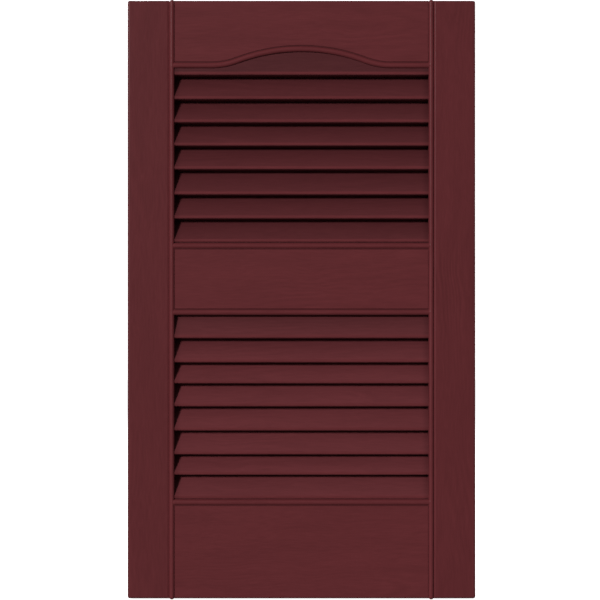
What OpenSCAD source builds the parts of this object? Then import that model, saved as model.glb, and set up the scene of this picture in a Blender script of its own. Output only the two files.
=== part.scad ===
// Decorative louvred shutter, moulded in one piece: stiles, rails, mullion, louvres and back ribs.
// Upright, +Z up, +X to the right, the front faces -Y. The wall plane is y = 0 and the origin is
// its centre. A "level" is a height above the wall plane, so a level L lies at y = -L.

/* [Panel] */
// Overall width
shutter_w = 368.3; // [300:0.1:460]
// Overall height, over the ends of the vertical beads
shutter_h = 635; // [540:1:800]
// Overall depth, from the wall plane to the crest of the vertical beads
shutter_d = 25.4; // [22:0.1:32]
// Wall thickness of the moulding
wall = 2.4; // [1.9:0.1:3]
// Radius along the front edges of the panel
edge_r = 2.5; // [1:0.1:4]
// Radius of the panel's corners, seen from the front
corner_r = 3; // [2:0.1:8]

/* [Stiles] */
// Width of each stile, from its outer edge to the bead
stile_w = 44.1; // [30:0.1:60]
// Radius of the stile's rounded shoulder beside the bead
shoulder_r = 2; // [1.5:0.1:4]
// Width of the groove between the shoulder and the bead, where the shoulder's curve ends
quirk_w = 0.2; // [0.1:0.1:1]
// Depth of the grooves beside the vertical beads, below the faces
quirk_d = 0.7; // [0.4:0.1:1.9]

/* [Beads] */
// Radius of the half-round vertical beads
bead_r = 2.75; // [2:0.05:3.5]
// How far the vertical beads stand above the faces
bead_rise = 1.5; // [0.8:0.1:2]
// How far the vertical beads stand beyond the ends of the panel
end_rise = 1; // [0.6:0.1:2]
// Radius of the half-round beads along the rails
rail_bead_r = 3.1; // [2:0.1:3.3]
// How far the rail beads stand above the faces
rail_bead_rise = 1.35; // [0.6:0.05:1.8]
// How far the seat that the beads grow from lies behind the lowest of their axes
bead_seat = 0.6; // [0.5:0.1:0.8]
// Width of the grooves between a rail's face and the beads round it
rail_quirk_w = 0.6; // [0.3:0.1:1.5]
// Depth of the groove along a rail's own bead, below the rail's face
rail_quirk_d = 0.4; // [0.2:0.1:1.5]

/* [Rails] */
// Height of the top rail at its ends, below the arch's feet
top_rail_h = 71.6; // [50:0.1:100]
// Height of the middle rail, over its beads
mid_rail_h = 76.6; // [40:0.1:110]
// Height of the bottom rail, over its bead
bottom_rail_h = 105.1; // [60:0.1:150]
// Share of the louvred height that the upper bank takes
upper_share = 0.4868; // [0.4:0.0005:0.6]

/* [Arch] */
// Rise of the arch in the middle of the top rail
arch_rise = 17.4; // [8:0.1:24]
// Half of the arch's width, from its crest to a foot
arch_half = 95; // [70:1:110]
// Radius of the arch's feet, along the axis of its bead
foot_r = 77; // [30:1:100]

/* [Louvres] */
// Steps of the upper bank, from its top edge down to each lip: they stretch to fill the bank
upper_steps = [7.3, 25.7, 24.6, 24.6, 25, 26.7, 25.4, 25];
// Steps of the lower bank, from its top edge down to each lip: they stretch to fill the bank
lower_steps = [24.4, 25.6, 22.2, 24.4, 25.6, 25.3, 21.6, 25.3];
// Gap between the last lip of each bank and the rail below it
lip_gap = 0.5; // [0.3:0.1:2]
// How far the lips stay behind the faces of the rails
lip_back = 0.7; // [0:0.1:2]
// Depth of the step under each lip
louvre_depth = 14; // [9:0.1:15]
// Depth of the upper bank's first louvre, at the crest of the arch
upper_first_depth = 1.5; // [1:0.1:10]
// Depth of the lower bank's first louvre, at its top edge
lower_first_depth = 7.5; // [3:0.1:12]
// Radius of the rounded lips
lip_r = 1.5; // [1:0.1:2]
// Flat height of each lip, between its rounded edges
lip_flat = 1.3; // [0.5:0.1:3]
// Slope of the underside of each lip, so that the panel leaves its mould
lip_draft = 6; // [1:0.5:10]
// Wall thickness of the louvres
louvre_wall = 2.2; // [1.8:0.1:3]

/* [Back ribs] */
// Number of cells between the upright ribs behind the rails and louvres
field_cells = 6; // [4:2:8]
// Number of cells between the cross ribs behind each stile
stile_cells = 9; // [5:1:12]
// Thickness of the ribs
rib_t = 2; // [1.6:0.1:3]

/* [Hidden] */
$fn = 48;
past = 1; // how far a cutter runs past the surface that it cuts
embed = 1; // how far the louvres run into the walls round them
clear = 0.03; // step between two curves that would otherwise only touch
joint_gap = 0.1; // how far short of a joint in the arch's bead its lengths stop
joint_swell = 0.05; // how much larger in radius than the bead the ball at such a joint is

// The body is the panel without the beads that stand out from it.
half_w = shutter_w / 2;
half_h = shutter_h / 2 - end_rise;
face = shutter_d - bead_rise;
ceiling = face - wall;

// Beads
bead_axis = shutter_d - bead_r;
rail_bead_axis = face + rail_bead_rise - rail_bead_r;
seat = min(bead_axis, rail_bead_axis) - bead_seat;
field_half = half_w - stile_w - 2 * bead_r;
bead_x = field_half + bead_r;
shoulder_x = half_w - stile_w + quirk_w;
quirk_floor = face - quirk_d;
rail_quirk_floor = face - rail_quirk_d;

// Heights of the banks' edges
louvred_h = 2 * half_h - top_rail_h - mid_rail_h - bottom_rail_h;
upper_top = half_h - top_rail_h;
upper_bottom = upper_top - louvred_h * upper_share;
lower_top = upper_bottom - mid_rail_h;
lower_bottom = -half_h + bottom_rail_h;

// The arch is a crest arc and two foot arcs that meet at one slope.
arch_radii = (arch_half * arch_half + arch_rise * arch_rise) / (2 * arch_rise);
crest_r = arch_radii - foot_r;
arch_slope = asin(arch_half / arch_radii);
arch_axis = upper_top + rail_bead_r;

// Louvres
lip_face = face - lip_back;
lip_axis = lip_face - lip_r;
upper_first = [lip_face - upper_first_depth, upper_top + arch_rise];
lower_first = [lip_face - lower_first_depth, lower_top];
louvre_shift = [
    -louvre_wall * (1 + sin(louvre_lean())) / cos(louvre_lean()),
    louvre_wall
];

// Lean of a typical louvre's face from the upright
function louvre_lean() = atan(louvre_depth / (lower_top - lower_bottom) * len(lower_steps));

// Sum of a list's first n numbers
function sum_of(list, n) = n <= 0 ? 0 : list[n - 1] + sum_of(list, n - 1);

// Heights of a bank's lip bottoms, with its steps stretched to fill it
function lip_heights(top, bottom, steps) =
    let (stretch = (top - bottom - lip_gap) / sum_of(steps, len(steps)))
    [for (i = [1:len(steps)]) top - stretch * sum_of(steps, i)];

// Point where a line from p touches the upper front of a circle of radius r about c
function touch(p, c, r) =
    let (d = p - c, a = atan2(d[1], d[0]) - acos(r / norm(d)))
    c + r * [cos(a), sin(a)];

// Front of a lip's underside, in [level, z]
function under_lip(lip_z) =
    [lip_axis, lip_z + lip_r] - (lip_r - clear) * [sin(lip_draft), cos(lip_draft)];

// Back of a lip's underside, in [level, z]
function under_back(lip_z) =
    let (front = under_lip(lip_z), run = front[0] - (lip_face - louvre_depth))
    front - run * [1, tan(lip_draft)];

// Outline of one louvre in [level, z], from the deep top of its face to the back of its underside
function louvre_points(start, lip_z, last) =
    let (
        r = lip_r - clear,
        low = [lip_axis, lip_z + lip_r],
        high = low + [0, lip_flat],
        out = [r, 0]
    )
    concat(
        [start, touch(start, high, r), high, high + out, low + out, low],
        last ? [] : [under_lip(lip_z), under_back(lip_z)]
    );

// Place in [level, z] where the face of louvre i starts, in a bank whose first one starts at a place
function louvre_start(first, lips, i) = i == 0 ? first : under_back(lips[i - 1]);

// Extrudes an outline in [level, z] along X, over a width that is centred on x
module across(x, width) {
    translate([x - width / 2, 0, 0])
        rotate([90, 0, 90])
            linear_extrude(width)
                mirror([1, 0])
                    children();
}

// Extrudes an outline in [x, z] forward from a level
module forward(level, depth) {
    translate([0, -level, 0])
        rotate([90, 0, 0])
            linear_extrude(depth)
                children();
}

// Rectangle from x0 to x1 and from the wall plane to a level, with its front corners rounded
module slab(x0, x1, level, r0, r1) {
    translate([x0 + r0, 0])
        square([x1 - x0 - r0 - r1, level]);
    translate([x0, 0])
        square([r0, level - r0]);
    translate([x1 - r1, 0])
        square([r1, level - r1]);
    translate([x0 + r0, level - r0])
        circle(r0);
    translate([x1 - r1, level - r1])
        circle(r1);
}

// Section of the body across its width: a slab for each stile, and the field between the grooves
module plan_section() {
    translate([-half_w + edge_r, 0])
        square([2 * (half_w - edge_r), quirk_floor]);
    translate([-field_half + rail_quirk_w, 0])
        square([2 * (field_half - rail_quirk_w), face]);
    for (side = [0, 1])
        mirror([side, 0])
            slab(shoulder_x, half_w, face, shoulder_r, edge_r);
}

// Outline of the body in [x, z], with rounded corners
module body_outline() {
    square([2 * half_w, 2 * (half_h - corner_r)], center = true);
    square([2 * (half_w - corner_r), 2 * half_h], center = true);
    for (x = [-1, 1])
        for (z = [-1, 1])
            translate([x * (half_w - corner_r), z * (half_h - corner_r)])
                circle(corner_r);
}

// Solid block with the outer form of the body
module body_block() {
    intersection() {
        translate([0, 0, -half_h])
            linear_extrude(2 * half_h)
                mirror([0, 1])
                    plan_section();
        across(0, 2 * half_w)
            rotate(90)
                mirror([0, 1])
                    slab(-half_h, half_h, face, edge_r, edge_r);
        forward(0, face)
            body_outline();
    }
}

// Outline in [x, z] of the arch above a bank, for an opening grown by g past the bead's lower edge
module arch(g) {
    crest = crest_r - rail_bead_r + g;
    foot = foot_r + rail_bead_r - g - clear;
    turn_x = crest * sin(arch_slope);
    crest_z = arch_axis + arch_rise - crest_r;
    turn_z = crest_z + crest * cos(arch_slope);
    low_z = upper_top + g - past;
    intersection() {
        translate([0, crest_z])
            circle(crest);
        translate([-turn_x, low_z])
            square([2 * turn_x, arch_rise + 2 * past]);
    }
    for (side = [0, 1])
        mirror([side, 0])
            difference() {
                translate([turn_x, low_z])
                    square([arch_half - turn_x, turn_z - low_z]);
                translate([arch_half, upper_top + g + foot + clear])
                    circle(foot);
            }
}

// Outline in [x, z] of a bank's opening, grown to the sides and up and down
module bank_outline(top, bottom, side_grow, rail_grow) {
    translate([-field_half - side_grow, bottom - rail_grow])
        square([2 * (field_half + side_grow), top - bottom + 2 * rail_grow]);
    if (top == upper_top)
        arch(rail_grow);
}

// Everything behind the front of a bank's louvres, in [level, z], from the first face's deep top on
module behind_louvres(top, bottom, first, steps) {
    lips = lip_heights(top, bottom, steps);
    n = len(lips);
    behind = -shutter_d;
    points = [
        for (i = [0:n - 1])
            each louvre_points(louvre_start(first, lips, i), lips[i], i == n - 1)
    ];
    polygon(concat(
        [[behind, first[1] + shutter_d], first + [0, shutter_d]],
        points,
        [[lip_axis, bottom - shutter_d], [behind, bottom - shutter_d]]
    ));
    for (z = lips)
        for (rise = [0, lip_flat])
            translate([lip_axis, z + lip_r + rise])
                circle(lip_r);
}

// Opening of a bank through the body, with a seat for the beads round it and a groove beyond them
module bank_opening(top, bottom) {
    forward(-past, shutter_d)
        bank_outline(top, bottom, 0, 0);
    forward(seat, shutter_d)
        bank_outline(top, bottom, bead_r, rail_bead_r);
    forward(rail_quirk_floor, shutter_d)
        bank_outline(top, bottom, bead_r, 2 * rail_bead_r + rail_quirk_w);
}

// Columns between the upright ribs: runs its children once for each cell's middle, set in $x
module field_columns() {
    pitch = 2 * field_half / field_cells;
    for (i = [0:field_cells - 1]) {
        $x = (i - (field_cells - 1) / 2) * pitch;
        // the outer cells reach the stiles' inner walls, and the others stop at half a rib
        $left = i == 0 ? 0 : rib_t / 2;
        $right = i == field_cells - 1 ? 0 : rib_t / 2;
        $x0 = $x - pitch / 2 + $left;
        $x1 = $x + pitch / 2 - $right;
        children();
    }
}

// Space behind a bank's louvres, between the upright ribs
module bank_back(top, bottom, first, steps) {
    intersection() {
        field_columns()
            across(($x0 + $x1) / 2, $x1 - $x0)
                intersection() {
                    translate(louvre_shift)
                        behind_louvres(top, bottom, first, steps);
                    translate([-past, bottom - past])
                        square([shutter_d, first[1] - bottom + 2 * past]);
                }
        forward(-past, shutter_d)
            bank_outline(top, bottom, 0, 0);
    }
}

// Louvres of a bank, with the upright ribs behind them
module louvre_bank(top, bottom, first, steps) {
    difference() {
        intersection() {
            across(0, 2 * (field_half + embed))
                intersection() {
                    behind_louvres(top, bottom, first, steps);
                    translate([0, bottom - 2 * embed])
                        square([shutter_d, first[1] - bottom + 4 * embed]);
                }
            forward(0, shutter_d)
                bank_outline(top, bottom, embed, embed);
        }
        bank_back(top, bottom, first, steps);
    }
}

// Pockets behind a rail that runs from one height to another, between the upright ribs
module rail_back(low, high) {
    field_columns()
        translate([$x0, -ceiling, low])
            cube([$x1 - $x0, ceiling + past, high - low]);
}

// Pockets behind the top rail, above the arch's own wall
module top_rail_back() {
    difference() {
        rail_back(upper_top, half_h - wall);
        forward(-2 * past, shutter_d)
            bank_outline(upper_top, upper_bottom, past, wall);
    }
}

// Pockets behind one stile, between its cross ribs
module stile_back() {
    inner = field_half + wall;
    pitch = (2 * (half_h - wall) + rib_t) / stile_cells;
    groove_ceiling = quirk_floor - wall;
    for (i = [0:stile_cells - 1])
        translate([0, 0, -half_h + wall + i * pitch])
            linear_extrude(pitch - rib_t)
                polygon([
                    [inner, past],
                    [inner, -groove_ceiling],
                    [shoulder_x + wall / 2, -groove_ceiling],
                    [shoulder_x + wall / 2 + quirk_d, -ceiling],
                    [half_w - wall, -ceiling],
                    [half_w - wall, past]
                ]);
}

// Half-round section of a bead from the seat up, with its axis at the origin and its crest towards +Y
module bead_section(r, axis) {
    drop = axis - seat;
    intersection() {
        circle(r);
        translate([-r, -drop])
            square([2 * r, r + drop]);
    }
}

// Vertical bead: along the front, over both ends of the panel and back to the wall plane
module vertical_bead() {
    end_z = half_h + end_rise - bead_r;
    translate([bead_x, -bead_axis, -end_z])
        linear_extrude(2 * end_z)
            mirror([0, 1])
                bead_section(bead_r, bead_axis);
    for (end = [0, 1])
        mirror([0, 0, end])
            translate([bead_x, 0, end_z]) {
                forward(0, bead_axis)
                    bead_section(bead_r, bead_axis);
                translate([0, -bead_axis, 0])
                    rotate([0, 90, 0])
                        rotate([0, 0, 180])
                            rotate_extrude(angle = 90, start = 0)
                                intersection() {
                                    circle(bead_r);
                                    translate([0, -bead_r])
                                        square([bead_r, 2 * bead_r]);
                                }
            }
}

// Straight rail bead between two places along X, with its axis at a height
module straight_bead(x0, x1, z) {
    translate([x0, -rail_bead_axis, z])
        rotate([90, 0, 90])
            linear_extrude(x1 - x0)
                rotate(180)
                    bead_section(rail_bead_r, rail_bead_axis);
}

// Curved rail bead about [x, z], over a sweep from an angle, that stops short of both its ends
module curved_bead(x, z, r, from, sweep) {
    short = joint_gap / r * 180 / PI;
    translate([x, -rail_bead_axis, z])
        rotate([90, 0, 0])
            rotate_extrude(angle = sweep - 2 * short, start = from + short)
                translate([r, 0])
                    bead_section(rail_bead_r, rail_bead_axis);
}

// Ball that joins two lengths of rail bead
module bead_joint(x, z) {
    r = rail_bead_r + joint_swell;
    translate([x, -rail_bead_axis, z])
        intersection() {
            sphere(r);
            translate([-r, -r, -r])
                cube([2 * r, r + rail_bead_axis - seat, 2 * r]);
        }
}

// Bead along the lower edge of the top rail: flat ends, two foot arcs and the crest
module arch_bead() {
    crest_z = arch_axis + arch_rise - crest_r;
    curved_bead(0, crest_z, crest_r, 90 - arch_slope, 2 * arch_slope);
    for (side = [0, 1])
        mirror([side, 0, 0]) {
            bead_joint(crest_r * sin(arch_slope), crest_z + crest_r * cos(arch_slope));
            curved_bead(arch_half, arch_axis + foot_r, foot_r, 270 - arch_slope, arch_slope);
            bead_joint(arch_half, arch_axis);
            straight_bead(arch_half + joint_gap, bead_x, arch_axis);
        }
}

// The whole panel, moulded in one piece
module shutter_panel() {
    color([0.36, 0.165, 0.18]) {
        difference() {
            body_block();
            bank_opening(upper_top, upper_bottom);
            bank_opening(lower_top, lower_bottom);
            top_rail_back();
            rail_back(lower_top + wall, upper_bottom - wall);
            rail_back(-half_h + wall, lower_bottom - wall);
            for (side = [0, 1])
                mirror([side, 0, 0])
                    stile_back();
        }
        louvre_bank(upper_top, upper_bottom, upper_first, upper_steps);
        louvre_bank(lower_top, lower_bottom, lower_first, lower_steps);
        for (side = [0, 1])
            mirror([side, 0, 0])
                vertical_bead();
        arch_bead();
        for (z = [upper_bottom - rail_bead_r, lower_top + rail_bead_r, lower_bottom - rail_bead_r])
            straight_bead(-bead_x, bead_x, z);
    }
}

shutter_panel();
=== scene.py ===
"""Looks of a louvred window shutter, moulded in one piece, built round its solid.

Everything is in metres, in the frame of the solid: +X across, +Z up the panel, and the front faces -Y.
A "level" is a height above the wall plane, so a level L lies at y = -L.
"""

import math

import bpy
import numpy as np
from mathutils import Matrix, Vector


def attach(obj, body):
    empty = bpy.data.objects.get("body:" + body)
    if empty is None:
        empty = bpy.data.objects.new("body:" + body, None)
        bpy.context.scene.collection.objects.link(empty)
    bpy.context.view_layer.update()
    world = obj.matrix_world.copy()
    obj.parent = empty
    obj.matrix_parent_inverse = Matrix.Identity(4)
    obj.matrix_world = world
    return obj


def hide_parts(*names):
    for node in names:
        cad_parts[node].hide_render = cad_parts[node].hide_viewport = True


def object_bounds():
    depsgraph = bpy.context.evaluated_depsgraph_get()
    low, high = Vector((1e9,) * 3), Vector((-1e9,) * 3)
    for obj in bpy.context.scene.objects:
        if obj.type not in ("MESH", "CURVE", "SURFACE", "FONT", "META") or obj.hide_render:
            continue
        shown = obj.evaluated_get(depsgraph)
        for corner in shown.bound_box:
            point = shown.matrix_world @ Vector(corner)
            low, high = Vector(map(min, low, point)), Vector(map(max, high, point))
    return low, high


bl_info = {
    "name": "Louvred Window Shutter",
    "version": (1, 0, 0),
    "blender": (4, 5, 0),
    "location": "3D View > Sidebar > Shutter",
    "description": "Builds a moulded shutter panel with fixed louvres, its finish and its studio",
    "category": "Object",
}

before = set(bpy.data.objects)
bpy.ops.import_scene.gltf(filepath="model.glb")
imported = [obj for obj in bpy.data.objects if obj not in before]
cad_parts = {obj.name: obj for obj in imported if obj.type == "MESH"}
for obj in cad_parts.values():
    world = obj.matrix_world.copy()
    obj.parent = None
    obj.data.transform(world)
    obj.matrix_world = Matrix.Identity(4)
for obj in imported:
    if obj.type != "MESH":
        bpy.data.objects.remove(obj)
SOLID_LOW, SOLID_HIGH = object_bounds()
PANEL_W, PANEL_D, PANEL_H = (SOLID_HIGH - SOLID_LOW)[:]

# Steps in mm of each bank from its top edge down to each lip, which stretch to fill the bank
UPPER_STEPS = (7.3, 25.7, 24.6, 24.6, 25.0, 26.7, 25.4, 25.0)
LOWER_STEPS = (24.4, 25.6, 22.2, 24.4, 25.6, 25.3, 21.6, 25.3)
MM = 0.001
DRAFT = 0.0001  # how far a wall's deep edge stands in from its front edge, so that it leaves the mould
NEAR = 1e-5  # distance within which two levels count as the same
HAIR = 1e-6  # room for rounding where a line lies right on a limit
WELD_STEPS = 1e8  # steps in a metre to which points are rounded before those that meet are joined
SHARP_ANGLE = math.radians(38)  # from which an edge is shaded as a sharp one

# Lines that divide each part of the mesh, its two ends counted
FIELD_CUTS = 46  # the field, from its middle to its edge
FACE_CUTS = 7  # a flat face of a rail or a stile
END_CUTS = 8  # a rounded edge or shoulder
BEAD_CUTS = 15  # a rail's bead
SOFT_CUTS = 4  # the softened edge of a rail's face
CELL_CUTS = 8  # a cell between two upright ribs
FRONT_ARC_STEPS, BACK_ARC_STEPS = 5, 3  # steps round each edge of a lip, seen from the front and behind

LONG_FACE = 6 * MM  # height from which a louvre's face gets lines between its edges
LOUVRE_CUTS = (0.08, 0.5, 0.92)  # shares of a louvre's height at which those lines lie
ARCH_LOUVRE_CUTS = (0.06, 0.35, 0.7, 0.95)  # the same up the louvre under the arch
TOP_RAIL_CUTS = (0.03, 0.15, 0.4, 0.7, 0.95)  # the same up the top rail

# Turns in degrees over a vertical bead, closest where the lips and the rail beads run into it
BEAD_TURNS = (0, 8, 16, 23, 30, 40, 50, 60, 70, 80, 90, 100, 110, 120, 130, 140, 150, 160, 170, 180)

STILE, RAIL, LOUVRE, ARCH_LOUVRE, BEAD, GROOVE, BACK = range(7)  # material slots of the moulding
FADE = 0.05  # height over which the lower louvres' painted shade turns into the darker painted shade of the upper ones
END_SHADE_FADE = 0.008  # length over which painted shade darkens the louvres towards their ends
LIP_EDGE = 0.975  # share of a louvre's depth at which its lip begins
ARCH_LIP_EDGE = 0.993  # the same for the shallow louvre under the arch

# Noise scales, in features a metre
DRIFT_SCALE = 14  # the grain's wandering
PORE_SCALE = 850  # the grain's fine lines
FIGURE_SCALE = 16  # the slow figure from which the rings are drawn
PATCH_SCALE = 9  # the places in which the rings show
STREAK_SCALE = 60  # broad streaks of tone
WANDER = 0.012  # how far the grain wanders, in metres
FINE_STRETCH = 0.06  # scale of the fine lines along the grain, beside 1 across it
BROAD_STRETCH = 0.12  # the same for rings and streaks
RING_TURNS = 150  # how far the rings' wave turns, in radians, over the whole figure
RING_FROM, RING_CLEAR = 0.42, 0.7  # patch noise at which rings begin to show, and show most
RING_HEIGHT = 0.16  # height of the clearest rings, beside 1 for the fine lines
PORE_SHINE, PORE_MATT = -0.04, 0.06  # how far roughness changes with the fine lines
SHOULDER_SHARE = 0.7  # share of the shoulder's width that gets the bead's painted highlight

FLOOR_GAP = 0.0005  # between the floor and the panel
GROUND_REACH = 6.0  # half the floor's width, and the backdrop's radius
FLOOR_GLOW, BACKDROP_GLOW = 0.97, 1.0  # how strongly each shines white
SOFT_LIGHTS = (("back", (-1.2, 2.2, 1.4), 130), ("side", (2.4, 0.9, 0.7), 60))  # name, place, watts
SOFT_LIGHT_SIZE = 1.5


# ---------------------------------------------------------------- settings


def length(name, description, default):
    """A size in metres that a user can change."""
    return bpy.props.FloatProperty(
        name=name, description=description, default=default, min=0.0, precision=4, unit="LENGTH"
    )


def coordinate(name, description, default):
    """A coordinate in metres, which may be negative."""
    return bpy.props.FloatProperty(
        name=name, description=description, default=default, precision=5, unit="LENGTH"
    )


def angle(name, description, degrees):
    """An angle that a user can change."""
    return bpy.props.FloatProperty(
        name=name, description=description, default=math.radians(degrees), subtype="ANGLE"
    )


def colour(name, description, default):
    """A colour that a user can change."""
    return bpy.props.FloatVectorProperty(
        name=name, description=description, default=default, size=3, min=0.0, max=1.0, subtype="COLOR"
    )


def share(name, description, default, high=1.0):
    """A plain number from nothing up to a limit."""
    return bpy.props.FloatProperty(
        name=name, description=description, default=default, min=0.0, max=high, subtype="FACTOR"
    )


class ShutterSizes(bpy.types.PropertyGroup):
    """Sizes of the moulding"""

    width: length("Width", "Overall width", PANEL_W)
    height: length("Height", "Overall height, over the ends of the vertical beads", PANEL_H)
    depth: length("Depth", "From the wall plane to the crest of the vertical beads", PANEL_D)
    wall: length("Wall", "Wall thickness of the moulding", 0.0024)
    edge_r: length("Edge radius", "Radius along the front edges", 0.0025)
    corner_r: length("Corner radius", "Radius of the corners, seen from the front", 0.003)
    stile_w: length("Stile width", "From the outer edge to the bead", 0.0441)
    shoulder_r: length("Shoulder radius", "Rounded shoulder beside the bead", 0.002)
    quirk_w: length("Groove width", "Between the bead and the end of the shoulder's curve", 0.0002)
    quirk_d: length("Groove depth", "Depth of the grooves beside the vertical beads", 0.0007)
    bead_r: length("Bead radius", "Half-round vertical beads", 0.00275)
    bead_rise: length("Bead rise", "Height of the vertical beads above the faces", 0.0015)
    end_rise: length("End rise", "How far the vertical beads stand beyond the ends of the panel", 0.001)
    rail_bead_r: length("Rail bead radius", "Half-round beads along the rails", 0.0031)
    rail_bead_rise: length("Rail bead rise", "Height of the rail beads above the faces", 0.00135)
    rail_quirk_w: length("Rail groove width", "Grooves between a rail's face and the beads round it", 0.0006)
    rail_quirk_d: length("Rail groove depth", "Depth of the groove along a rail's own bead", 0.0004)
    rail_edge_r: length("Rail edge radius", "Softened edge of a rail's face along its groove", 0.00035)
    top_rail_h: length("Top rail", "Height at its ends, below the arch's feet", 0.0716)
    mid_rail_h: length("Middle rail", "Height over its beads", 0.0766)
    bottom_rail_h: length("Bottom rail", "Height over its bead", 0.1051)
    upper_share: share("Upper bank", "Share of the louvred height in the upper bank", 0.4868)
    arch_rise: length("Arch rise", "Rise of the arch in its middle", 0.0174)
    arch_half: length("Arch half-width", "From its crest to a foot", 0.095)
    foot_r: length("Foot radius", "Radius of the arch's feet", 0.077)
    lip_gap: length("Lip gap", "Between the last lip of a bank and the rail", 0.0005)
    lip_back: length("Lip setback", "How far the lips stay behind the rails' faces", 0.0007)
    lip_r: length("Lip radius", "Radius of the rounded lips", 0.0015)
    lip_flat: length("Lip flat", "Flat height between a lip's rounded edges", 0.0013)
    lip_draft: angle("Lip draft", "Slope of the lips' undersides", 6)
    louvre_depth: length("Louvre depth", "Depth of the step under each lip", 0.014)
    upper_first_depth: length("First depth, upper", "Upper bank's first louvre at the arch's crest", 0.0015)
    lower_first_depth: length("First depth, lower", "Lower bank's first louvre at its top", 0.0075)
    louvre_wall: length("Louvre wall", "Wall thickness of the louvres", 0.0022)
    rib_t: length("Rib", "Thickness of the ribs behind", 0.002)
    field_cells: bpy.props.IntProperty(
        name="Field cells", description="Cells between the upright ribs", default=6, min=2
    )
    stile_cells: bpy.props.IntProperty(
        name="Stile cells", description="Cells between the cross ribs of a stile", default=9, min=1
    )


class ShutterFinish(bpy.types.PropertyGroup):
    """Colour and grain of the plastic"""

    plastic: colour("Plastic", "Colour of the moulded plastic", (0.1085, 0.0214, 0.0245))
    stile_tone: share("Stile tone", "How dark the stiles are beside the rails", 0.92)
    # louvre_tone and the tones further down paint shade into the louvres' colour, darker deep between them
    # and in the upper bank
    louvre_tone: share("Louvre tone", "How bright the louvre plastic is beside the rails", 1.3, 2.0)
    # painted shade on the louvre under the arch
    arch_shade: share("Arch face", "Tone of the louvre under the arch", 0.5)
    # painted highlight on the vertical beads and their shoulders
    bead_highlight: share("Bead tone", "How bright the vertical beads are beside the rails", 1.06, 2.0)
    # painted shade in the rails' grooves
    groove_shade: share("Groove tone", "How dark the rails' grooves are beside the rails", 0.62)
    # painted shade at the louvres' ends, beside the beads
    end_shade: share("End tone", "How dark the louvres' ends are beside their faces", 0.78)
    # painted sheen: lifts green and blue on the louvres' faces beside red
    painted_sheen: share("Bloom", "How much the louvres' faces lean from red towards grey", 1.15, 2.0)
    # lip_tone and the four tones below set the painted shade along each louvre, from its lip to where it
    # lies deepest
    lip_tone: share("Lip tone", "Tone of the lips in the louvre plastic", 0.81)
    upper_deep: share("Upper recess", "Tone of the upper louvres where they lie deepest", 0.46)
    upper_near: share("Upper face", "Tone of the upper louvres just above their lips", 0.63)
    lower_deep: share("Lower recess", "Tone of the lower louvres where they lie deepest", 0.76)
    lower_near: share("Lower face", "Tone of the lower louvres just above their lips", 0.88)
    roughness: share("Roughness", "Roughness of the plastic between its grain lines", 0.32)
    gloss: share("Gloss", "Specular level of the plastic", 0.07)
    grain_depth: length("Grain depth", "Depth of the embossed wood grain", 0.00015)
    grain_tone: share("Grain tone", "How much darker the grain's lines are than the plastic between", 0.13)
    streak_tone: share("Streak tone", "How far broad streaks of the plastic differ in tone", 0.05)
    grain_strength: share("Grain strength", "How strongly the grain shows", 0.35)


class ShutterStudio(bpy.types.PropertyGroup):
    """Camera and lights"""

    camera_distance: length("Camera distance", "From the wall plane to the camera", 2.2)
    camera_x: coordinate("Camera X", "How far the camera stands to the right of the middle", -0.0016)
    camera_z: coordinate("Camera Z", "How far the camera stands above the middle", -0.00046)
    lens: bpy.props.FloatProperty(name="Lens", description="Focal length in mm", default=123.38, min=10.0)
    key_strength: bpy.props.FloatProperty(name="Key", description="Strength of the key light", default=2.9)
    key_side: angle("Key side", "Angle to the left of the front", 28)
    key_height: angle("Key height", "Angle above the level", 15)
    key_softness: angle("Key softness", "Angle that the key light spans", 9)
    fill: share("Fill", "Brightness of the surrounding light", 0.16)


# ------------------------------------------------------------- panel shape


def arc(centre, radius, start, end, steps):
    """Points [z, level] on an arc about [z, level], between two angles from +z towards the front."""
    angles = np.linspace(start, end, steps + 1)
    return [(centre[0] + radius * math.cos(a), centre[1] + radius * math.sin(a)) for a in angles]


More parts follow.
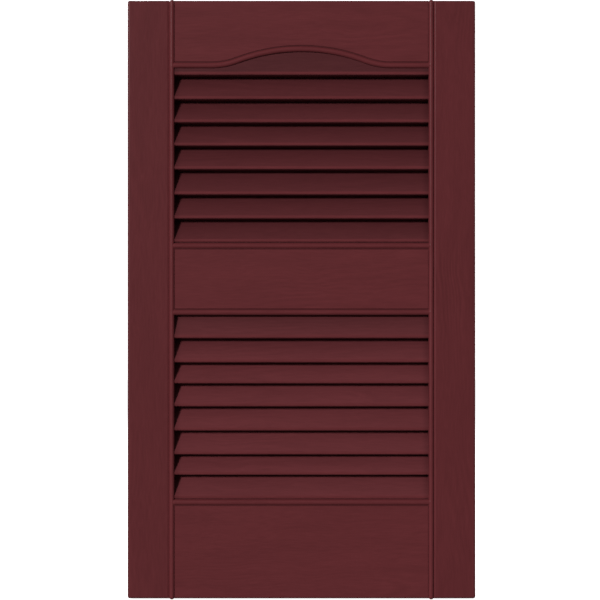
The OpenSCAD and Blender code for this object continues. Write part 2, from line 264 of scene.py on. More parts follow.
class PanelShape:
    """The moulding's form, worked out from its sizes"""

    def __init__(self, s):
        self.s = s
        self.half_w = s.width / 2
        self.half_h = s.height / 2 - s.end_rise
        self.face = s.depth - s.bead_rise
        self.ceiling = self.face - s.wall
        self.bead_axis = s.depth - s.bead_r
        self.rail_bead_axis = self.face + s.rail_bead_rise - s.rail_bead_r
        self.field_half = self.half_w - s.stile_w - 2 * s.bead_r
        self.bead_x = self.field_half + s.bead_r
        self.shoulder_x = self.half_w - s.stile_w + s.quirk_w
        self.quirk_floor = self.face - s.quirk_d
        self.rail_quirk_floor = self.face - s.rail_quirk_d
        self.rail_face_off = s.rail_bead_r + s.rail_quirk_w + s.rail_edge_r
        louvred = 2 * self.half_h - s.top_rail_h - s.mid_rail_h - s.bottom_rail_h
        self.upper_top = self.half_h - s.top_rail_h
        self.upper_bottom = self.upper_top - louvred * s.upper_share
        self.lower_top = self.upper_bottom - s.mid_rail_h
        self.lower_bottom = -self.half_h + s.bottom_rail_h
        arch_radii = (s.arch_half**2 + s.arch_rise**2) / (2 * s.arch_rise)
        self.crest_r = arch_radii - s.foot_r
        self.arch_slope = math.asin(s.arch_half / arch_radii)
        self.arch_axis = self.upper_top + s.rail_bead_r
        self.lip_face = self.face - s.lip_back
        self.lip_axis = self.lip_face - s.lip_r
        lean = math.atan(s.louvre_depth / (self.lower_top - self.lower_bottom) * len(LOWER_STEPS))
        self.louvre_back = s.louvre_wall * (1 + math.sin(lean)) / math.cos(lean)

    def arch_height(self, x, offset):
        """Height of the line that runs at an offset above the axis of the arch's bead."""
        x = np.abs(x)
        crest = self.crest_r + offset
        foot = self.s.foot_r - offset
        turn = crest * math.sin(self.arch_slope)
        crest_z = self.arch_axis + self.s.arch_rise - self.crest_r
        foot_z = self.arch_axis + self.s.foot_r
        over = crest_z + np.sqrt(np.maximum(crest**2 - np.minimum(x, turn) ** 2, 0))
        beside = np.clip(self.s.arch_half - x, 0, self.s.arch_half - turn)
        under = foot_z - np.sqrt(np.maximum(foot**2 - beside**2, 0))
        return np.where(x < turn, over, under)

    def bank_profile(self, top, bottom, steps, first, arc_steps):
        """Points [z, level] up the front of a bank's louvres, from its lower edge to its top, first."""
        s = self.s
        stretch = (top - bottom - s.lip_gap) / sum(steps)
        lips = [top - stretch * sum(steps[: i + 1]) for i in range(len(steps))]
        points = [(bottom, self.lip_axis), (lips[-1], self.lip_axis)]
        for i in reversed(range(len(lips))):
            low = (lips[i] + s.lip_r, self.lip_axis)
            high = (low[0] + s.lip_flat, self.lip_axis)
            start = self.under_back(lips[i - 1]) if i else first
            if i < len(lips) - 1:
                points += arc(low, s.lip_r, math.pi - s.lip_draft, math.pi / 2, arc_steps)
            else:
                points += arc(low, s.lip_r, math.pi, math.pi / 2, arc_steps)[1:]
            run = (start[0] - high[0], start[1] - high[1])
            touch = math.atan2(run[1], run[0]) + math.acos(s.lip_r / math.hypot(*run))
            points += arc(high, s.lip_r, math.pi / 2, touch, arc_steps)
            points.append(start)
        return points

    def under_back(self, lip_z):
        """Deep end [z, level] of a lip's underside."""
        s = self.s
        z = lip_z + s.lip_r - s.lip_r * math.cos(s.lip_draft)
        level = self.lip_axis - s.lip_r * math.sin(s.lip_draft)
        run = level - (self.lip_face - s.louvre_depth)
        return (z - run * math.tan(s.lip_draft), level - run)


# ------------------------------------------------------------- front surface


class Line:
    """One line of points across the panel.

    height: function of x that gives z; level: function of z that gives the field's level;
    grooved: whether the line drops into the grooves beside the vertical beads;
    turn: how far the line has turned over the end of the panel, with its sign for the end.
    """

    def __init__(self, height, level, grooved=False, turn=None):
        self.height = height
        self.level = level
        self.grooved = grooved
        self.turn = turn


def flat(value):
    """A height or level that is the same all along a line."""
    return lambda given: np.full_like(given, value)


def front_columns(p):
    """Places across the front as (x, level, kind), from the left edge to the right one."""
    s = p.s
    right = []
    for x in np.linspace(0, p.field_half - s.rail_quirk_w, FIELD_CUTS):
        right.append((x, 0.0, "field"))
    for x in (p.field_half - s.rail_quirk_w + 0.5 * DRAFT, p.field_half - DRAFT):
        right.append((x, p.quirk_floor, "groove"))
    for degrees in BEAD_TURNS:
        a = math.radians(degrees)
        side = "inner bead" if degrees <= 90 else "outer bead"
        right.append((p.bead_x - s.bead_r * math.cos(a), p.bead_axis + s.bead_r * math.sin(a), side))
    right.append((p.bead_x + s.bead_r + 0.5 * DRAFT, p.quirk_floor, "stile"))
    shoulder = (p.shoulder_x + s.shoulder_r, p.face - s.shoulder_r)
    first = math.degrees(math.asin((p.quirk_floor - shoulder[1]) / s.shoulder_r))
    for degrees in np.linspace(first, 90, END_CUTS):
        a = math.radians(degrees)
        x = shoulder[0] - s.shoulder_r * math.cos(a)
        right.append((x, shoulder[1] + s.shoulder_r * math.sin(a), "stile"))
    for x in np.linspace(shoulder[0], p.half_w - s.edge_r, FACE_CUTS)[1:-1]:
        right.append((x, p.face, "stile"))
    for degrees in np.linspace(0, 90, END_CUTS):
        a = math.radians(degrees)
        x = p.half_w - s.edge_r * (1 - math.sin(a))
        right.append((x, p.face - s.edge_r * (1 - math.cos(a)), "stile"))
    left = [(-x, level, kind) for x, level, kind in reversed(right[1:])]
    return left + right


def end_lines(p, sign, level):
    """Lines over one rounded end of the panel, from its edge in to its face."""
    turns = np.radians(np.linspace(90, 0, END_CUTS))
    never_zero = 1e-9  # so that each turn keeps its sign
    return [Line(flat(0.0), level, True, sign * max(turn, never_zero)) for turn in turns]


def bead_rows(p):
    """Points (offset, level) over a rail bead and its groove, from the louvres' side to the rail's face."""
    s = p.s
    flank = math.asin((p.rail_quirk_floor - p.rail_bead_axis) / s.rail_bead_r)
    rows = []
    for turn in np.linspace(math.pi, flank, BEAD_CUTS):
        rows.append((s.rail_bead_r * math.cos(turn), p.rail_bead_axis + s.rail_bead_r * math.sin(turn)))
    rows.append((s.rail_bead_r + s.rail_quirk_w, p.rail_quirk_floor))
    for turn in np.linspace(0, math.pi / 2, SOFT_CUTS):
        offset = p.rail_face_off - s.rail_edge_r * math.cos(turn) + 0.5 * DRAFT
        rows.append((offset, p.face - s.rail_edge_r * (1 - math.sin(turn))))
    return rows


def bead_lines(p, bead_z, sign):
    """Lines over a straight rail bead, from the louvres' side to the rail's face; sign is +1 upwards."""
    lines = []
    for offset, level in bead_rows(p):
        lines.append(Line(flat(bead_z + sign * offset), flat(level), offset > p.s.rail_bead_r))
    return lines


def bank_lines(p, profile, low, high):
    """Lines up a bank's louvres, between two heights."""
    z = np.array([point[0] for point in profile])
    level = np.array([point[1] for point in profile])

    def level_at(height):
        return np.interp(height, z, level)

    lines = []
    for i, (a, b) in enumerate(zip(z[:-1], z[1:])):
        if low < a < high:
            lines.append(Line(flat(a), level_at))
        if b - a > LONG_FACE:
            for cut in LOUVRE_CUTS:
                middle = a + cut * (b - a)
                if low < middle < high:
                    lines.append(Line(flat(middle), level_at))
    return [Line(flat(low + DRAFT), level_at)] + lines, level_at


def front_lines(p):
    """Lines across the front, from the bottom end to the top one."""
    s = p.s
    face = flat(p.face)
    lines = end_lines(p, -1, face)

    bead_z = p.lower_bottom - s.rail_bead_r
    for z in np.linspace(-p.half_h + s.edge_r, bead_z - p.rail_face_off, FACE_CUTS)[1:-1]:
        lines.append(Line(flat(z), face, True))
    lines += bead_lines(p, bead_z, -1)[::-1]

    profile = bank_profile_of(p, "lower", FRONT_ARC_STEPS)
    between, level_at = bank_lines(p, profile, p.lower_bottom, p.lower_top - 2 * DRAFT)
    lines += between
    lines.append(Line(flat(p.lower_top - DRAFT), level_at))

    lines += bead_lines(p, p.lower_top + s.rail_bead_r, 1)
    reach = s.rail_bead_r + p.rail_face_off
    for z in np.linspace(p.lower_top + reach, p.upper_bottom - reach, FACE_CUTS)[1:-1]:
        lines.append(Line(flat(z), face, True))
    lines += bead_lines(p, p.upper_bottom - s.rail_bead_r, -1)[::-1]

    profile = bank_profile_of(p, "upper", FRONT_ARC_STEPS)
    last_turn = profile[-2][0]
    between, level_at = bank_lines(p, profile, p.upper_bottom, last_turn + HAIR)
    lines += between
    edge = -s.rail_bead_r
    for part in ARCH_LOUVRE_CUTS:

        def lerped(x, part=part):
            return last_turn + part * (p.arch_height(x, edge - DRAFT) - last_turn)

        lines.append(Line(lerped, level_at))
    lines.append(Line(lambda x: p.arch_height(x, edge - DRAFT), level_at))

    for offset, level in bead_rows(p):

        def over_bead(x, offset=offset):
            return p.arch_height(x, offset)

        lines.append(Line(over_bead, flat(level), offset > s.rail_bead_r))
    last = p.rail_face_off + 0.5 * DRAFT
    top = p.half_h - s.edge_r
    for part in TOP_RAIL_CUTS:

        def up_rail(x, part=part):
            base = p.arch_height(x, last)
            return base + part * (top - base)

        lines.append(Line(up_rail, face, True))
    lines += end_lines(p, 1, face)[::-1]
    return lines


def bank_profile_of(p, bank, arc_steps):
    """Profile of the upper or the lower bank."""
    if bank == "upper":
        first = (p.upper_top + p.s.arch_rise, p.lip_face - p.s.upper_first_depth)
        return p.bank_profile(p.upper_top, p.upper_bottom, UPPER_STEPS, first, arc_steps)
    first = (p.lower_top, p.lip_face - p.s.lower_first_depth)
    return p.bank_profile(p.lower_top, p.lower_bottom, LOWER_STEPS, first, arc_steps)


def front_grid(p):
    """Points of the front as an array of lines by columns."""
    s = p.s
    columns = front_columns(p)
    x = np.array([c[0] for c in columns])
    plan = np.array([c[1] for c in columns])
    kind = np.array([c[2] for c in columns])
    off_bead = np.abs(np.abs(x) - p.bead_x)
    bead_half = np.sqrt(np.maximum(s.bead_r**2 - off_bead**2, 0))
    on_bead = off_bead < math.sqrt(s.bead_r**2 - (s.bead_r - s.bead_rise) ** 2)
    corner = np.maximum(np.abs(x) - (p.half_w - s.corner_r), 0)
    reach = p.half_h - s.corner_r + np.sqrt(np.maximum(s.corner_r**2 - corner**2, 0))
    grid = []
    for line in front_lines(p):
        z = line.height(x)
        if line.turn is not None:
            sign = 1 if line.turn > 0 else -1
            turn = abs(line.turn)
            z = np.full_like(x, sign * (p.half_h - s.edge_r * (1 - math.sin(turn))))
        field = line.level(z)
        level = np.where(kind == "field", field, plan)
        level = np.where(kind == "groove", np.minimum(plan, field) if line.grooved else field, level)
        level = np.where(kind == "inner bead", np.maximum(plan, field), level)
        if line.turn is not None:
            level = np.minimum(level, p.face - s.edge_r * (1 - math.cos(turn)))
            wrapped = p.half_h + s.end_rise - s.bead_r + bead_half * math.sin(turn)
            z = np.where(on_bead, sign * wrapped, z)
            level = np.where(on_bead, p.bead_axis + bead_half * math.cos(turn), level)
            z = np.where(on_bead, z, np.clip(z, -reach, reach))
        grid.append(np.stack([x, -level, z], axis=1))
    return np.array(grid)


# -------------------------------------------------------------- back surface


def inside(value, low, high):
    """Whether each value lies between two drafted edges."""
    return (value > low + 0.5 * DRAFT) & (value < high - 0.5 * DRAFT)


def field_cells(p):
    """The spans in x between the upright ribs behind the field."""
    half_rib = p.s.rib_t / 2
    pitch = 2 * p.field_half / p.s.field_cells
    cells = []
    for i in range(p.s.field_cells):
        low = -p.field_half + i * pitch + (half_rib if i else 0)
        high = -p.field_half + (i + 1) * pitch - (half_rib if i < p.s.field_cells - 1 else 0)
        cells.append((low, high))
    return cells


def stile_cells(p):
    """The spans in z between the cross ribs behind a stile."""
    s = p.s
    pitch = (2 * (p.half_h - s.wall) + s.rib_t) / s.stile_cells
    cells = []
    for i in range(s.stile_cells):
        low = -p.half_h + s.wall + i * pitch
        cells.append((low, low + pitch - s.rib_t))
    return cells


def louvre_backs(p):
    """Where each bank's back starts, and the heights and levels up it."""
    backs = []
    for bank, bottom in (("upper", p.upper_bottom), ("lower", p.lower_bottom)):
        profile = bank_profile_of(p, bank, BACK_ARC_STEPS)
        z = np.array([bottom - 10 * MM] + [point[0] + p.s.louvre_wall for point in profile])
        level = np.array([p.lip_axis] + [point[1] for point in profile]) - p.louvre_back
        backs.append((bottom, z, level))
    return backs


def back_columns(p, inner, outer, slope):
    """Places across the back, from its left edge to its right one.

    inner, outer: edges of the right stile's cells; slope: where their floor follows the shoulder.
    """
    rim = p.half_w - 0.5 * p.s.wall
    x = [-rim]
    for low, high in [(-outer, -inner)] + field_cells(p) + [(inner, outer)]:
        x += [low - DRAFT, low + DRAFT]
        if low == -outer:
            x += [-slope[1], -slope[0]]
        elif low == inner:
            x += [slope[0], slope[1]]
        else:
            x += list(np.linspace(low, high, CELL_CUTS)[1:-1])
        x += [high - DRAFT, high + DRAFT]
    return np.array(x + [rim])


def back_lines(p, backs):
    """Heights of the lines across the back as functions of x, from the bottom to the top."""
    s = p.s
    rim = p.half_h - 0.5 * s.wall
    breaks = [edge for cell in stile_cells(p) for edge in cell]
    breaks += [p.lower_bottom - s.wall, p.lower_bottom, p.lower_top, p.lower_top + s.wall]
    breaks += [p.upper_bottom - s.wall, p.upper_bottom]
    heights = [-rim]
    for edge in breaks:
        heights += [edge - DRAFT, edge + DRAFT]
    for bottom, z, _ in backs:
        heights += [h for h in z if bottom + 2 * DRAFT < h < p.upper_top - 2 * MM]
    heights = sorted(h for h in set(heights) if h < p.upper_top - MM)
    kept = [heights[0]]
    for h in heights[1:]:
        if h - kept[-1] > 0.2 * DRAFT:
            kept.append(h)
    lines = [flat(h) for h in kept]

    for offset in (-s.rail_bead_r, s.wall - s.rail_bead_r):
        for step in (-DRAFT, DRAFT):
            lines.append(lambda x, o=offset + step: p.arch_height(x, o))
    last = s.wall - s.rail_bead_r + DRAFT
    top = p.half_h - s.wall - DRAFT
    for part in (0.5, 1.0):
        lines.append(lambda x, part=part: p.arch_height(x, last) * (1 - part) + top * part)
    return lines + [flat(p.half_h - s.wall + DRAFT), flat(rim)]


def back_grid(p):
    """Points of the back, from its rim inwards, as an array of lines by columns."""
    s = p.s
    inner, outer = p.field_half + s.wall, p.half_w - s.wall
    slope = (p.shoulder_x + s.wall / 2, p.shoulder_x + s.wall / 2 + s.quirk_d)
    x = back_columns(p, inner, outer, slope)
    backs = louvre_backs(p)
    tops = {p.upper_bottom: p.arch_height(x, -s.rail_bead_r), p.lower_bottom: p.lower_top}
    pockets = [
        (-p.half_h + s.wall, p.lower_bottom - s.wall),
        (p.lower_top + s.wall, p.upper_bottom - s.wall),
        (p.arch_height(x, s.wall - s.rail_bead_r), p.half_h - s.wall),
    ]
    in_cell = np.zeros_like(x, bool)
    for low, high in field_cells(p):
        in_cell |= inside(x, low, high)
    in_stile = inside(np.abs(x), inner, outer)
    stile_level = np.interp(np.abs(x), slope, [p.quirk_floor - s.wall, p.ceiling])

    grid = []
    for line in back_lines(p, backs):
        z = line(x)
        level = np.zeros_like(x)
        for low, high in pockets:
            level = np.where(in_cell & inside(z, low, high), p.ceiling, level)
        for bottom, bank_z, bank_level in backs:
            floor = np.interp(z, bank_z, bank_level)
            level = np.where(in_cell & inside(z, bottom, tops[bottom]), floor, level)
        for low, high in stile_cells(p):
            level = np.where(in_stile & inside(z, low, high), stile_level, level)
        grid.append(np.stack([x, -level, z], axis=1))
    return np.array(grid)


# ---------------------------------------------------------------- panel mesh


def loop_of(index):
    """Indices round the border of a grid, anticlockwise as seen from the front."""
    return list(index[0, :-1]) + list(index[:-1, -1]) + list(index[-1, :0:-1]) + list(index[:0:-1, 0])


def turn_about(points, p):
    """How far round the panel each point lies, from its lower left corner."""
    from_right = np.arctan2(points[:, 2] / p.half_h, points[:, 0] / p.half_w)
    return np.mod(from_right + 0.75 * math.pi, 2 * math.pi)


def bridge(outer, inner, outer_turn, inner_turn):
    """Triangles between two loops that run the same way round."""
    a = np.roll(outer, -int(np.argmin(outer_turn)))
    b = np.roll(inner, -int(np.argmin(inner_turn)))
    at = np.append(np.sort(outer_turn), 2 * math.pi + outer_turn.min())
    bt = np.append(np.sort(inner_turn), 2 * math.pi + inner_turn.min())
    faces, i, j = [], 0, 0
    while i < len(a) or j < len(b):
        if j == len(b) or (i < len(a) and at[i + 1] <= bt[j + 1]):
            faces.append((a[i], a[(i + 1) % len(a)], b[j % len(b)]))
            i += 1
        else:
            faces.append((a[i % len(a)], b[(j + 1) % len(b)], b[j]))
            j += 1
    return faces


def panel_mesh(p):
    """The closed mesh of the whole moulding."""
    front, back = front_grid(p), back_grid(p)
    f = np.arange(front.shape[0] * front.shape[1]).reshape(front.shape[:2])
    faces = np.stack([f[:-1, :-1], f[:-1, 1:], f[1:, 1:], f[1:, :-1]], axis=-1).reshape(-1, 4).tolist()

    rim = loop_of(f)
    skirt = front.reshape(-1, 3)[rim]
    skirt[:, 1] = 0
    foot = list(range(f.size, f.size + len(rim)))
    for i in range(len(rim)):
        j = (i + 1) % len(rim)
        faces.append((rim[j], rim[i], foot[i], foot[j]))

    b = np.arange(back.shape[0] * back.shape[1]).reshape(back.shape[:2]) + f.size + len(rim)
    faces += np.stack([b[:-1, :-1], b[1:, :-1], b[1:, 1:], b[:-1, 1:]], axis=-1).reshape(-1, 4).tolist()
    points = np.concatenate([front.reshape(-1, 3), skirt, back.reshape(-1, 3)])
    inner = loop_of(b)
    ring = bridge(foot, inner, turn_about(points[foot], p), turn_about(points[inner], p))
    faces += [corners[::-1] for corners in ring]

    keys = np.round(points * WELD_STEPS).astype(np.int64)
    _, first, inverse = np.unique(keys, axis=0, return_index=True, return_inverse=True)
    inverse = inverse.ravel()
    clean = []
    for face in faces:
        corners = []
        for corner in inverse[list(face)]:
            if corner not in corners:
                corners.append(int(corner))
        if len(corners) > 2:
            clean.append(corners)
    mesh = bpy.data.meshes.new("shutter_moulding")
    mesh.from_pydata(points[first].tolist(), [], clean)
    mesh.validate()
    mesh.set_sharp_from_angle(angle=SHARP_ANGLE)
    return mesh


# ------------------------------------------------------------------ finishes


def noise(nodes, links, vector, scale, detail):
    """A noise texture at so many features a metre."""
    texture = nodes.new("ShaderNodeTexNoise")
    texture.inputs["Scale"].default_value = scale
    texture.inputs["Detail"].default_value = detail
    links.new(vector, texture.inputs["Vector"])
    return texture


def plastic(name, shade, finish, upright, grain=1.0):
    """Moulded plastic with so much of the embossed wood grain, which runs up the panel or across it."""
    material = bpy.data.materials.new(name)
    material.use_nodes = True
    nodes, links = material.node_tree.nodes, material.node_tree.links
    shader = nodes["Principled BSDF"]
    shader.inputs["IOR"].default_value = 1.49
    shader.inputs["Specular IOR Level"].default_value = finish.gloss
    place = nodes.new("ShaderNodeTexCoord")
    drift = noise(nodes, links, place.outputs["Object"], DRIFT_SCALE, 1)
    wander = nodes.new("ShaderNodeVectorMath")
    wander.operation = "MULTIPLY_ADD"
    wander.inputs[1].default_value = (WANDER, WANDER, WANDER)
    links.new(drift.outputs["Color"], wander.inputs[0])
    links.new(place.outputs["Object"], wander.inputs[2])

    fine = nodes.new("ShaderNodeMapping")
    fine.inputs["Scale"].default_value = (1, 1, FINE_STRETCH) if upright else (FINE_STRETCH, 1, 1)
    links.new(wander.outputs["Vector"], fine.inputs["Vector"])
    pores = noise(nodes, links, fine.outputs["Vector"], PORE_SCALE, 3)

    broad = nodes.new("ShaderNodeMapping")
    broad.inputs["Scale"].default_value = (1, 1, BROAD_STRETCH) if upright else (BROAD_STRETCH, 1, 1)
    links.new(wander.outputs["Vector"], broad.inputs["Vector"])
    figure = noise(nodes, links, broad.outputs["Vector"], FIGURE_SCALE, 1)
    rings = nodes.new("ShaderNodeMath")
    rings.operation = "MULTIPLY"
    rings.inputs[1].default_value = RING_TURNS
    links.new(figure.outputs["Fac"], rings.inputs[0])
    wave = nodes.new("ShaderNodeMath")
    wave.operation = "SINE"
    links.new(rings.outputs[0], wave.inputs[0])
    patches = noise(nodes, links, place.outputs["Object"], PATCH_SCALE, 2)
    clear = nodes.new("ShaderNodeMapRange")
    clear.inputs["From Min"].default_value = RING_FROM
    clear.inputs["From Max"].default_value = RING_CLEAR
    clear.inputs["To Max"].default_value = RING_HEIGHT
    links.new(patches.outputs["Fac"], clear.inputs["Value"])

    relief = nodes.new("ShaderNodeMath")
    relief.operation = "MULTIPLY_ADD"
    links.new(wave.outputs[0], relief.inputs[0])
    links.new(clear.outputs["Result"], relief.inputs[1])
    links.new(pores.outputs["Fac"], relief.inputs[2])

    bump = nodes.new("ShaderNodeBump")
    bump.inputs["Strength"].default_value = finish.grain_strength * grain
    bump.inputs["Distance"].default_value = finish.grain_depth
    links.new(relief.outputs[0], bump.inputs["Height"])
    links.new(bump.outputs["Normal"], shader.inputs["Normal"])

    tone = nodes.new("ShaderNodeMapRange")
    tone.inputs["From Min"].default_value = 0.1
    tone.inputs["From Max"].default_value = 0.9
    tone.inputs["To Min"].default_value = 1 - finish.grain_tone * grain
    tone.inputs["To Max"].default_value = 1 + finish.grain_tone * grain
    links.new(relief.outputs[0], tone.inputs["Value"])
    streaks = noise(nodes, links, broad.outputs["Vector"], STREAK_SCALE, 1)
    blend = nodes.new("ShaderNodeMapRange")
    blend.inputs["From Min"].default_value = 0.25
    blend.inputs["From Max"].default_value = 0.75
    blend.inputs["To Min"].default_value = 1 - finish.streak_tone
    blend.inputs["To Max"].default_value = 1 + finish.streak_tone
    links.new(streaks.outputs["Fac"], blend.inputs["Value"])
    both = nodes.new("ShaderNodeMath")
    both.operation = "MULTIPLY"
    links.new(tone.outputs["Result"], both.inputs[0])
    links.new(blend.outputs["Result"], both.inputs[1])
    colour_mix = nodes.new("ShaderNodeVectorMath")
    colour_mix.operation = "SCALE"
    colour_mix.inputs[0].default_value = [c * shade for c in finish.plastic]
    links.new(both.outputs[0], colour_mix.inputs["Scale"])
    links.new(colour_mix.outputs["Vector"], shader.inputs["Base Color"])

    matt = nodes.new("ShaderNodeMapRange")
    matt.inputs["To Min"].default_value = finish.roughness + PORE_SHINE
    matt.inputs["To Max"].default_value = finish.roughness + PORE_MATT
    links.new(pores.outputs["Fac"], matt.inputs["Value"])
    links.new(matt.outputs["Result"], shader.inputs["Roughness"])
    return material


def shade_ramp(nodes, deep, near, lip, painted_sheen, edge):
    """Painted shade from a louvre's deepest place to its lip, which begins at the share edge of the depth.

    The faces get a painted sheen, which lifts green and blue beside red.
    """
    ramp = nodes.new("ShaderNodeValToRGB")
    stops = ramp.color_ramp.elements
    stops[0].color = (deep, deep * painted_sheen, deep * painted_sheen, 1)
    stops[1].color = (lip, lip, lip, 1)
    middle = stops.new(edge)
    middle.color = (near, near * painted_sheen, near * painted_sheen, 1)
    return ramp


def paint_louvre_shade(material, p, finish, upper_deep, upper_near, edge):
    """Paints shade into a material's colour: darker deep between the louvres, more so in the upper bank, and
    at their ends.
    """
    nodes, links = material.node_tree.nodes, material.node_tree.links
    shader = nodes["Principled BSDF"]
    grain_colour = shader.inputs["Base Color"].links[0].from_socket
    place = nodes.new("ShaderNodeTexCoord")
    parts = nodes.new("ShaderNodeSeparateXYZ")
    links.new(place.outputs["Object"], parts.inputs["Vector"])

    # painted shade by how deep a place lies behind the lips
    depth = nodes.new("ShaderNodeMapRange")
    depth.inputs["From Min"].default_value = -(p.lip_face - p.s.louvre_depth)
    depth.inputs["From Max"].default_value = -p.lip_face
    links.new(parts.outputs["Y"], depth.inputs["Value"])
    # painted shade that is darker in the upper bank than in the lower one
    bank = nodes.new("ShaderNodeMapRange")
    bank.inputs["From Min"].default_value = p.lower_top - FADE
    bank.inputs["From Max"].default_value = p.lower_top
    links.new(parts.outputs["Z"], bank.inputs["Value"])

    lower = shade_ramp(nodes, finish.lower_deep, finish.lower_near, finish.lip_tone, finish.painted_sheen, edge)
    upper = shade_ramp(nodes, upper_deep, upper_near, finish.lip_tone, finish.painted_sheen, edge)
    for ramp in (lower, upper):
        links.new(depth.outputs["Result"], ramp.inputs["Fac"])
    chosen = nodes.new("ShaderNodeMix")
    chosen.data_type = "VECTOR"  # its inputs 4 and 5 and its output 1 are then the ones that count
    links.new(bank.outputs["Result"], chosen.inputs["Factor"])
    links.new(lower.outputs["Color"], chosen.inputs[4])
    links.new(upper.outputs["Color"], chosen.inputs[5])

    # painted shade towards the louvres' ends
    aside = nodes.new("ShaderNodeMath")
    aside.operation = "ABSOLUTE"
    links.new(parts.outputs["X"], aside.inputs[0])
    ends = nodes.new("ShaderNodeMapRange")
    ends.interpolation_type = "SMOOTHSTEP"
    ends.inputs["From Min"].default_value = p.field_half - END_SHADE_FADE
    ends.inputs["From Max"].default_value = p.field_half
    ends.inputs["To Min"].default_value = 1.0
    ends.inputs["To Max"].default_value = finish.end_shade
    links.new(aside.outputs[0], ends.inputs["Value"])
    dimmed = nodes.new("ShaderNodeVectorMath")
    dimmed.operation = "SCALE"
    links.new(chosen.outputs[1], dimmed.inputs[0])
    links.new(ends.outputs["Result"], dimmed.inputs["Scale"])

    shaded = nodes.new("ShaderNodeVectorMath")
    shaded.operation = "MULTIPLY"
    links.new(grain_colour, shaded.inputs[0])
    links.new(dimmed.outputs["Vector"], shaded.inputs[1])
    links.new(shaded.outputs["Vector"], shader.inputs["Base Color"])


def finish_slots(p, centres, normals):
    """Numbers of the material slots for faces of the moulding with these centres and normals."""
    s = p.s
    x, level, z = np.abs(centres[:, 0]), -centres[:, 1], centres[:, 2]
    arch = p.arch_height(x, 0)
    slots = np.where(x > p.field_half, STILE, RAIL)
    in_bank = (z > p.lower_bottom) & (z < p.lower_top)
    in_bank |= (z > p.upper_bottom) & (z < arch - s.rail_bead_r)
    in_bank &= (x < p.field_half) & (level < p.lip_face + NEAR)
    first_lip = p.upper_top - UPPER_STEPS[0] * MM
    # the louvre under the arch gets a darker painted shade of its own
    slots = np.where(in_bank, np.where(z > first_lip + MM, ARCH_LOUVRE, LOUVRE), slots)
    on_rail = (z < p.lower_bottom - s.rail_bead_r) | (z > arch)
    on_rail |= (z > p.lower_top + s.rail_bead_r) & (z < p.upper_bottom - s.rail_bead_r)
    # the rails' grooves get painted shade
    in_groove = (level < p.face - 2 * NEAR) & (level > p.rail_quirk_floor - NEAR)
    in_groove &= np.abs(z) < p.half_h - s.edge_r
    slots = np.where(on_rail & in_groove & (x < p.field_half - s.rail_quirk_w), GROOVE, slots)
    # the vertical beads and most of their shoulders get a painted highlight
    by_bead = (x > p.field_half) & (x < p.shoulder_x + SHOULDER_SHARE * s.shoulder_r)
    by_bead &= level > p.ceiling + NEAR
    slots = np.where(by_bead, BEAD, slots)
    past_rim = 0.6 * s.wall  # a little more than half the wall, where the back's outermost points lie
    within = (x < p.half_w - past_rim) & (np.abs(z) < p.half_h - past_rim)
    faces_wall = normals[:, 1] > 1e-4
    return np.where(within & faces_wall, BACK, slots)


def white_ground(name, glow):
    """Plain white that glows a little, so that it stays pale away from the lights."""
    material = bpy.data.materials.new(name)
    material.use_nodes = True
    shader = material.node_tree.nodes["Principled BSDF"]
    shader.inputs["Base Color"].default_value = (0.3, 0.3, 0.3, 1)
    shader.inputs["Roughness"].default_value = 0.9
    shader.inputs["Emission Color"].default_value = (1, 1, 1, 1)
    shader.inputs["Emission Strength"].default_value = glow
    return material


def backdrop_shape(radius, rings, sides):
    """Points and faces of a ball about the panel."""
    points, faces = [], []
    for i in range(rings + 1):
        tilt = math.pi * (i / rings - 0.5)
        for j in range(sides):
            a = 2 * math.pi * j / sides
            across = radius * math.cos(tilt)
            points.append((across * math.cos(a), across * math.sin(a), radius * math.sin(tilt)))
    for i in range(rings):
        for j in range(sides):
            k = (j + 1) % sides
            faces.append((i * sides + j, (i + 1) * sides + j, (i + 1) * sides + k, i * sides + k))
    return points, faces


# ----------------------------------------------------------------- operators


class SHUTTER_OT_build_panel(bpy.types.Operator):
    """Build the moulded panel and give it its finish"""

    bl_idname = "shutter.build_panel"
    bl_label = "Build panel"

    def execute(self, context):
        p = PanelShape(context.scene.shutter_sizes)
        finish = context.scene.shutter_finish
        panel = bpy.data.objects.new("moulded_panel", panel_mesh(p))
        context.scene.collection.objects.link(panel)
        mesh = panel.data
        mesh.materials.append(plastic("stile_plastic", finish.stile_tone, finish, True))
        mesh.materials.append(plastic("rail_plastic", 1.0, finish, False))
        # the louvres' colour carries painted shade: deep between them, in the upper bank and at their ends
        louvre = plastic("louvre_plastic", finish.louvre_tone, finish, False)
        paint_louvre_shade(louvre, p, finish, finish.upper_deep, finish.upper_near, LIP_EDGE)
        mesh.materials.append(louvre)
        # the louvre under the arch: a copy of the plastic with darker painted shade
        arch_louvre = plastic("arch_louvre_plastic", finish.louvre_tone, finish, False)
        paint_louvre_shade(arch_louvre, p, finish, finish.arch_shade, finish.arch_shade, ARCH_LIP_EDGE)
        mesh.materials.append(arch_louvre)
        # the vertical beads: a lighter copy of the plastic, a painted highlight
        mesh.materials.append(plastic("bead_highlight_plastic", finish.bead_highlight, finish, True))
        # the rails' grooves: a darker copy of the plastic, painted shade
        mesh.materials.append(plastic("groove_shade_plastic", finish.groove_shade, finish, False))
        mesh.materials.append(plastic("back_plastic", 1.0, finish, True, grain=0.25))
        centres, normals = np.zeros(len(mesh.polygons) * 3), np.zeros(len(mesh.polygons) * 3)
        mesh.polygons.foreach_get("center", centres)
        mesh.polygons.foreach_get("normal", normals)
        slots = finish_slots(p, centres.reshape(-1, 3), normals.reshape(-1, 3))
        mesh.polygons.foreach_set("material_index", slots.astype(np.int32))
        mesh.polygons.foreach_set("use_smooth", np.ones(len(mesh.polygons), bool))
        shading = panel.modifiers.new("Even shading", "WEIGHTED_NORMAL")
        shading.keep_sharp = True
        shading.weight = 100
        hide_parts("shutter_panel")
        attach(panel, "root")
        return {"FINISHED"}


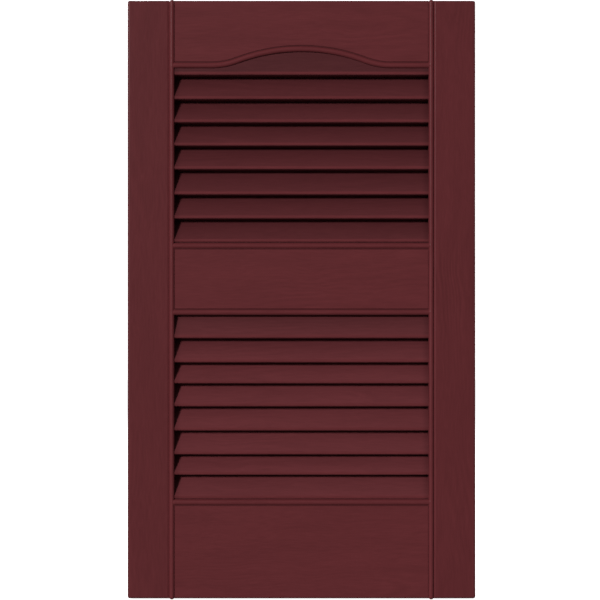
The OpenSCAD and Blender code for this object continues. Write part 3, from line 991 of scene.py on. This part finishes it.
class SHUTTER_OT_build_stage(bpy.types.Operator):
    """Set up the floor, the backdrop, the lights and the camera"""

    bl_idname = "shutter.build_stage"
    bl_label = "Build stage"

    def execute(self, context):
        scene, studio = context.scene, context.scene.shutter_studio
        z, reach = SOLID_LOW.z - FLOOR_GAP, GROUND_REACH
        corners = [(-reach, -reach, z), (reach, -reach, z), (reach, reach, z), (-reach, reach, z)]
        self.ground(context, "floor", corners, [(0, 1, 2, 3)], FLOOR_GLOW)
        points, faces = backdrop_shape(GROUND_REACH, rings=24, sides=48)
        self.ground(context, "backdrop", points, faces, BACKDROP_GLOW)
        self.camera(context, studio)
        self.lights(context, studio)
        world = bpy.data.worlds.new("studio_air")
        world.use_nodes = True
        world.node_tree.nodes["Background"].inputs["Color"].default_value = (1, 1, 1, 1)
        world.node_tree.nodes["Background"].inputs["Strength"].default_value = studio.fill
        scene.world = world
        scene.view_settings.view_transform = "Standard"
        scene.view_settings.look = "None"
        return {"FINISHED"}

    def ground(self, context, name, points, faces, glow):
        """A white surface round the panel that neither lights it nor shades it."""
        mesh = bpy.data.meshes.new(name)
        mesh.from_pydata(points, [], faces)
        mesh.materials.append(white_ground(name + "_white", glow))
        piece = bpy.data.objects.new(name, mesh)
        context.scene.collection.objects.link(piece)
        piece.visible_diffuse = False
        piece.visible_glossy = False
        piece.visible_shadow = False

    def camera(self, context, studio):
        """A long lens square to the panel's front."""
        data = bpy.data.cameras.new("camera")
        data.lens = studio.lens
        data.sensor_width = 36
        data.clip_end = 5 * GROUND_REACH
        camera = bpy.data.objects.new("camera", data)
        camera.location = (studio.camera_x, -studio.camera_distance, studio.camera_z)
        camera.rotation_euler = (math.pi / 2, 0, 0)
        context.scene.collection.objects.link(camera)
        context.scene.camera = camera

    def lights(self, context, studio):
        """A fairly hard key from the upper left, and soft lights behind for the back and the right side."""
        key_data = bpy.data.lights.new("key", "SUN")
        key_data.energy = studio.key_strength
        key_data.angle = studio.key_softness
        key = bpy.data.objects.new("key", key_data)
        key.rotation_euler = (math.pi / 2 - studio.key_height, 0, -studio.key_side)
        context.scene.collection.objects.link(key)

        for name, place, power in SOFT_LIGHTS:
            soft_data = bpy.data.lights.new(name, "AREA")
            soft_data.energy = power
            soft_data.size = SOFT_LIGHT_SIZE
            soft = bpy.data.objects.new(name, soft_data)
            soft.location = place
            soft.rotation_mode = "QUATERNION"
            soft.rotation_quaternion = (-soft.location).to_track_quat("-Z", "Y")
            context.scene.collection.objects.link(soft)


class SHUTTER_PT_settings(bpy.types.Panel):
    """Sizes, finish and studio of the shutter"""

    bl_idname = "SHUTTER_PT_settings"
    bl_label = "Louvred shutter"
    bl_space_type = "VIEW_3D"
    bl_region_type = "UI"
    bl_category = "Shutter"

    def draw(self, context):
        scene = context.scene
        for title, group in (
            ("Sizes", scene.shutter_sizes),
            ("Finish", scene.shutter_finish),
            ("Studio", scene.shutter_studio),
        ):
            box = self.layout.box()
            box.label(text=title)
            for name in group.__annotations__:
                box.prop(group, name)
        self.layout.operator("shutter.build_panel")
        self.layout.operator("shutter.build_stage")


CLASSES = (
    ShutterSizes,
    ShutterFinish,
    ShutterStudio,
    SHUTTER_OT_build_panel,
    SHUTTER_OT_build_stage,
    SHUTTER_PT_settings,
)


def register():
    for cls in CLASSES:
        bpy.utils.register_class(cls)
    bpy.types.Scene.shutter_sizes = bpy.props.PointerProperty(type=ShutterSizes)
    bpy.types.Scene.shutter_finish = bpy.props.PointerProperty(type=ShutterFinish)
    bpy.types.Scene.shutter_studio = bpy.props.PointerProperty(type=ShutterStudio)


def unregister():
    del bpy.types.Scene.shutter_studio
    del bpy.types.Scene.shutter_finish
    del bpy.types.Scene.shutter_sizes
    for cls in reversed(CLASSES):
        bpy.utils.unregister_class(cls)


def main():
    register()
    bpy.ops.shutter.build_panel()
    bpy.ops.shutter.build_stage()


if __name__ == "__main__":
    main()
